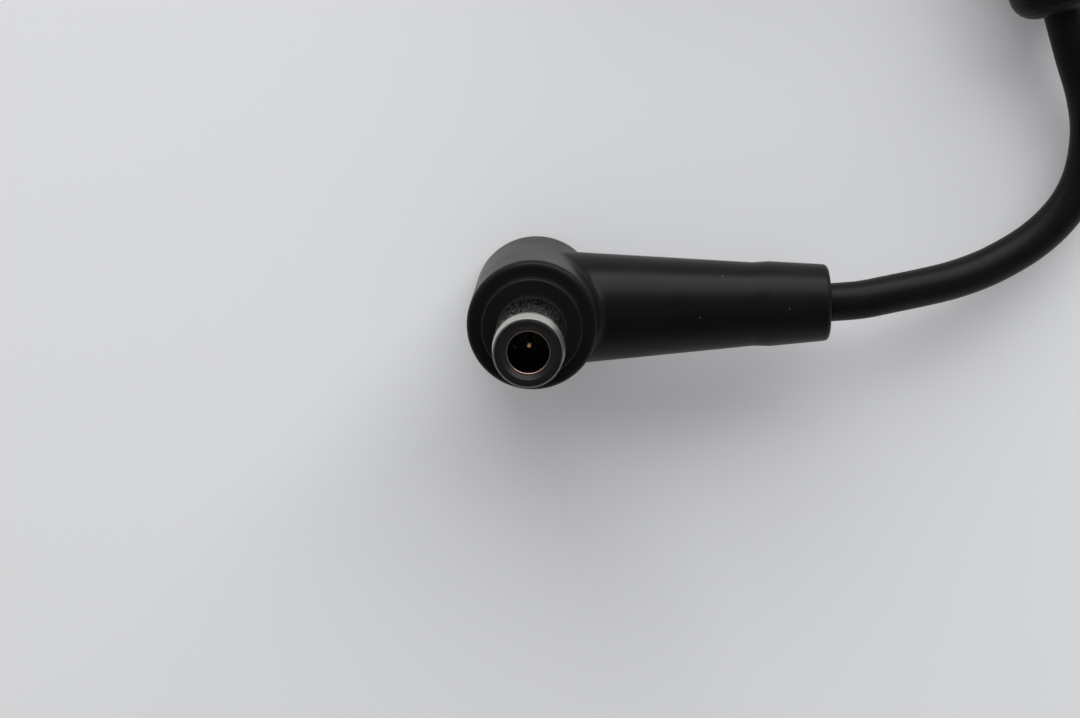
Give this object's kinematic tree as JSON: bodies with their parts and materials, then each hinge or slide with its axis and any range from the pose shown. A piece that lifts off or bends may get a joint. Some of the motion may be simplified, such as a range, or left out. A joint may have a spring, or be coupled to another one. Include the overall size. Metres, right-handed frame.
{
  "type": "dc barrel plug",
  "caption": "Right-angle moulded DC plug: slender metal barrel with a centre pin in a round head, tapered arm, and a cord with a ferrite bead, coiled, with stripped wire ends.",
  "frame": {"origin": "centre of the round head's flat back, on the barrel's centre line", "axes": "+Z along the barrel towards its open end, +X along the arm towards the cord"},
  "size_m": [0.0713, 0.1296, 0.0325],
  "materials": {
    "overmould": "satin",
    "inner_mould": "satin",
    "nickel": "polished",
    "insulator": "satin",
    "contact": "satin",
    "gold": "polished",
    "tin": "satin",
    "copper": "satin",
    "jacket": "satin",
    "core_white": "satin",
    "core_blue": "satin",
    "ferrite": "matte"
  },
  "bodies": {
    "root": {"overmould": "overmould", "inner_mould": "inner_mould", "outer_sleeve": "nickel", "sleeve_insulator": "insulator", "spring_contact": "contact", "pin_holder": "insulator", "centre_pin": "gold", "negative_lug": "nickel", "positive_lug": "contact", "negative_solder": "tin", "positive_solder": "tin", "signal_solder": "tin", "jacket_end": "jacket", "shield_end": "copper", "positive_insulation": "core_white", "positive_conductor": "copper", "signal_insulation": "core_blue", "signal_conductor": "copper", "ferrite_core": "ferrite", "bead_cover": "overmould", "cord_run": "jacket", "cord_coil": "jacket", "cord_tail": "jacket", "tail_shield": "tin", "tail_positive_insulation": "core_white", "tail_positive_tip": "tin", "tail_signal_insulation": "core_blue", "tail_signal_tip": "tin"}
  },
  "joints": []
}
